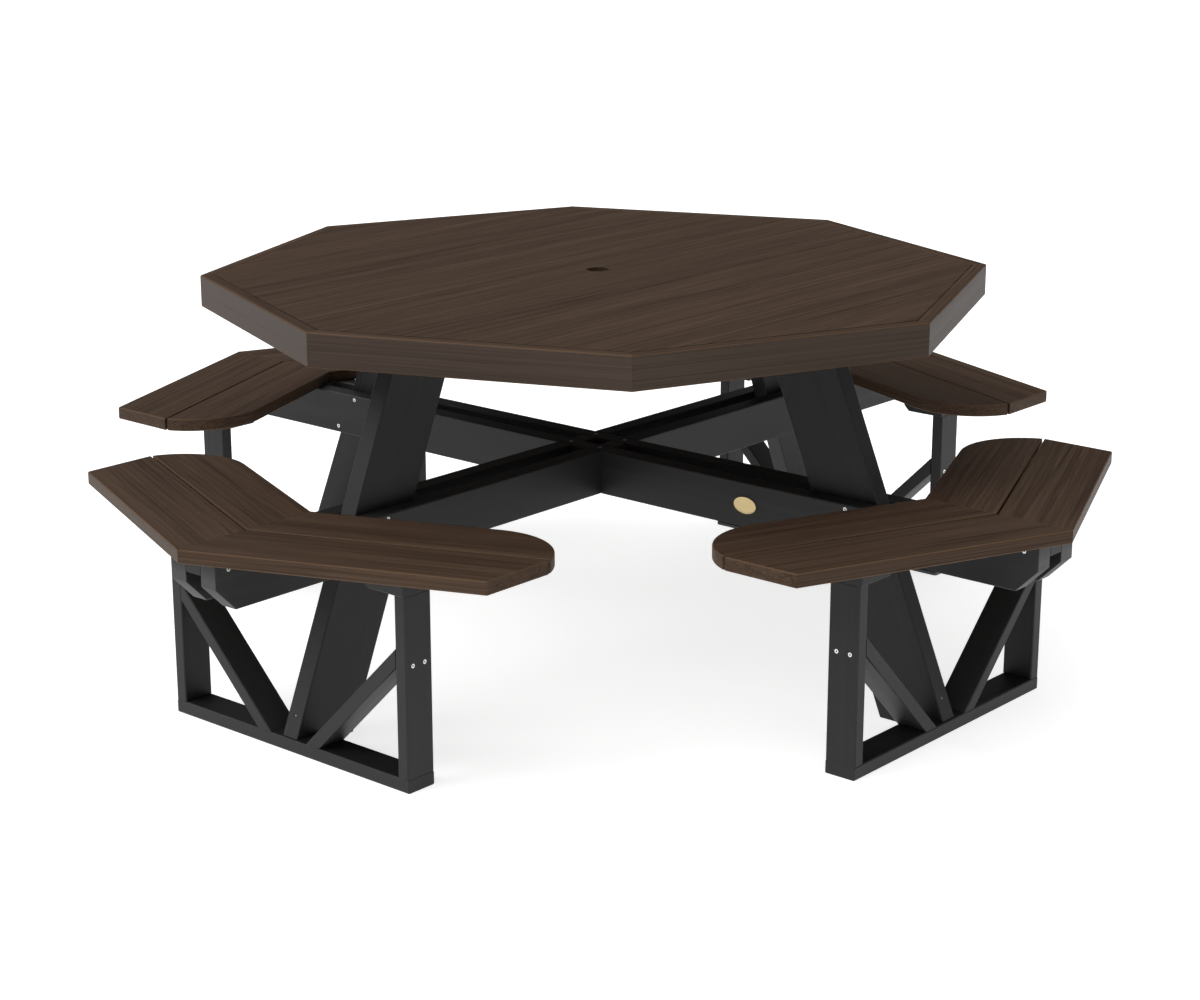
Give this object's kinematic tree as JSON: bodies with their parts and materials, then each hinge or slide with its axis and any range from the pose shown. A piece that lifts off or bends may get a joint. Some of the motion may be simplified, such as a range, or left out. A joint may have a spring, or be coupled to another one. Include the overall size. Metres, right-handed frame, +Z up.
{
  "type": "picnic table",
  "caption": "Octagonal picnic table of brown plank lumber on a black crossed-beam frame, with attached angled corner seats, slanted legs and braced leg frames.",
  "frame": {"origin": "on the ground at the centre of the table, under the umbrella hole", "axes": "+Z up; the top planks run along Y; the two beam pairs and the four seats lie along +X, +Y, -X and -Y"},
  "size_m": [2.1818, 2.1818, 0.762],
  "materials": {
    "brown_lumber": "satin wood-grain recycled plastic",
    "black_lumber": "satin recycled plastic",
    "screw_steel": "stainless",
    "strap_steel": "black powder coat",
    "brass_plate": "satin"
  },
  "bodies": {
    "root": {"plank_1": "brown_lumber", "plank_2": "brown_lumber", "plank_3": "brown_lumber", "plank_4": "brown_lumber", "plank_5": "brown_lumber", "plank_6": "brown_lumber", "plank_7": "brown_lumber", "plank_8": "brown_lumber", "plank_9": "brown_lumber", "plank_10": "brown_lumber", "plank_11": "brown_lumber", "apron_1": "brown_lumber", "apron_2": "brown_lumber", "apron_3": "brown_lumber", "apron_4": "brown_lumber", "apron_5": "brown_lumber", "apron_6": "brown_lumber", "apron_7": "brown_lumber", "apron_8": "brown_lumber", "seat_outer_boards_1": "brown_lumber", "seat_outer_boards_2": "brown_lumber", "seat_outer_boards_3": "brown_lumber", "seat_outer_boards_4": "brown_lumber", "seat_inner_boards_1": "brown_lumber", "seat_inner_boards_2": "brown_lumber", "seat_inner_boards_3": "brown_lumber", "seat_inner_boards_4": "brown_lumber", "long_battens": "black_lumber", "cross_battens": "black_lumber", "leg_cheeks": "black_lumber", "beam_1": "black_lumber", "beam_2": "black_lumber", "beam_3": "black_lumber", "beam_4": "black_lumber", "leg_1": "black_lumber", "leg_2": "black_lumber", "leg_3": "black_lumber", "leg_4": "black_lumber", "ground_rail_1": "black_lumber", "ground_rail_2": "black_lumber", "ground_rail_3": "black_lumber", "ground_rail_4": "black_lumber", "uprights_1": "black_lumber", "uprights_2": "black_lumber", "uprights_3": "black_lumber", "uprights_4": "black_lumber", "braces_1": "black_lumber", "braces_2": "black_lumber", "braces_3": "black_lumber", "braces_4": "black_lumber", "end_blocks": "black_lumber", "seat_cleats": "black_lumber", "beam_straps": "strap_steel", "oval_plate": "brass_plate", "beam_screws": "screw_steel", "frame_screws": "screw_steel", "top_screws": "screw_steel", "seat_screws": "screw_steel", "strap_screws": "screw_steel"}
  },
  "joints": []
}
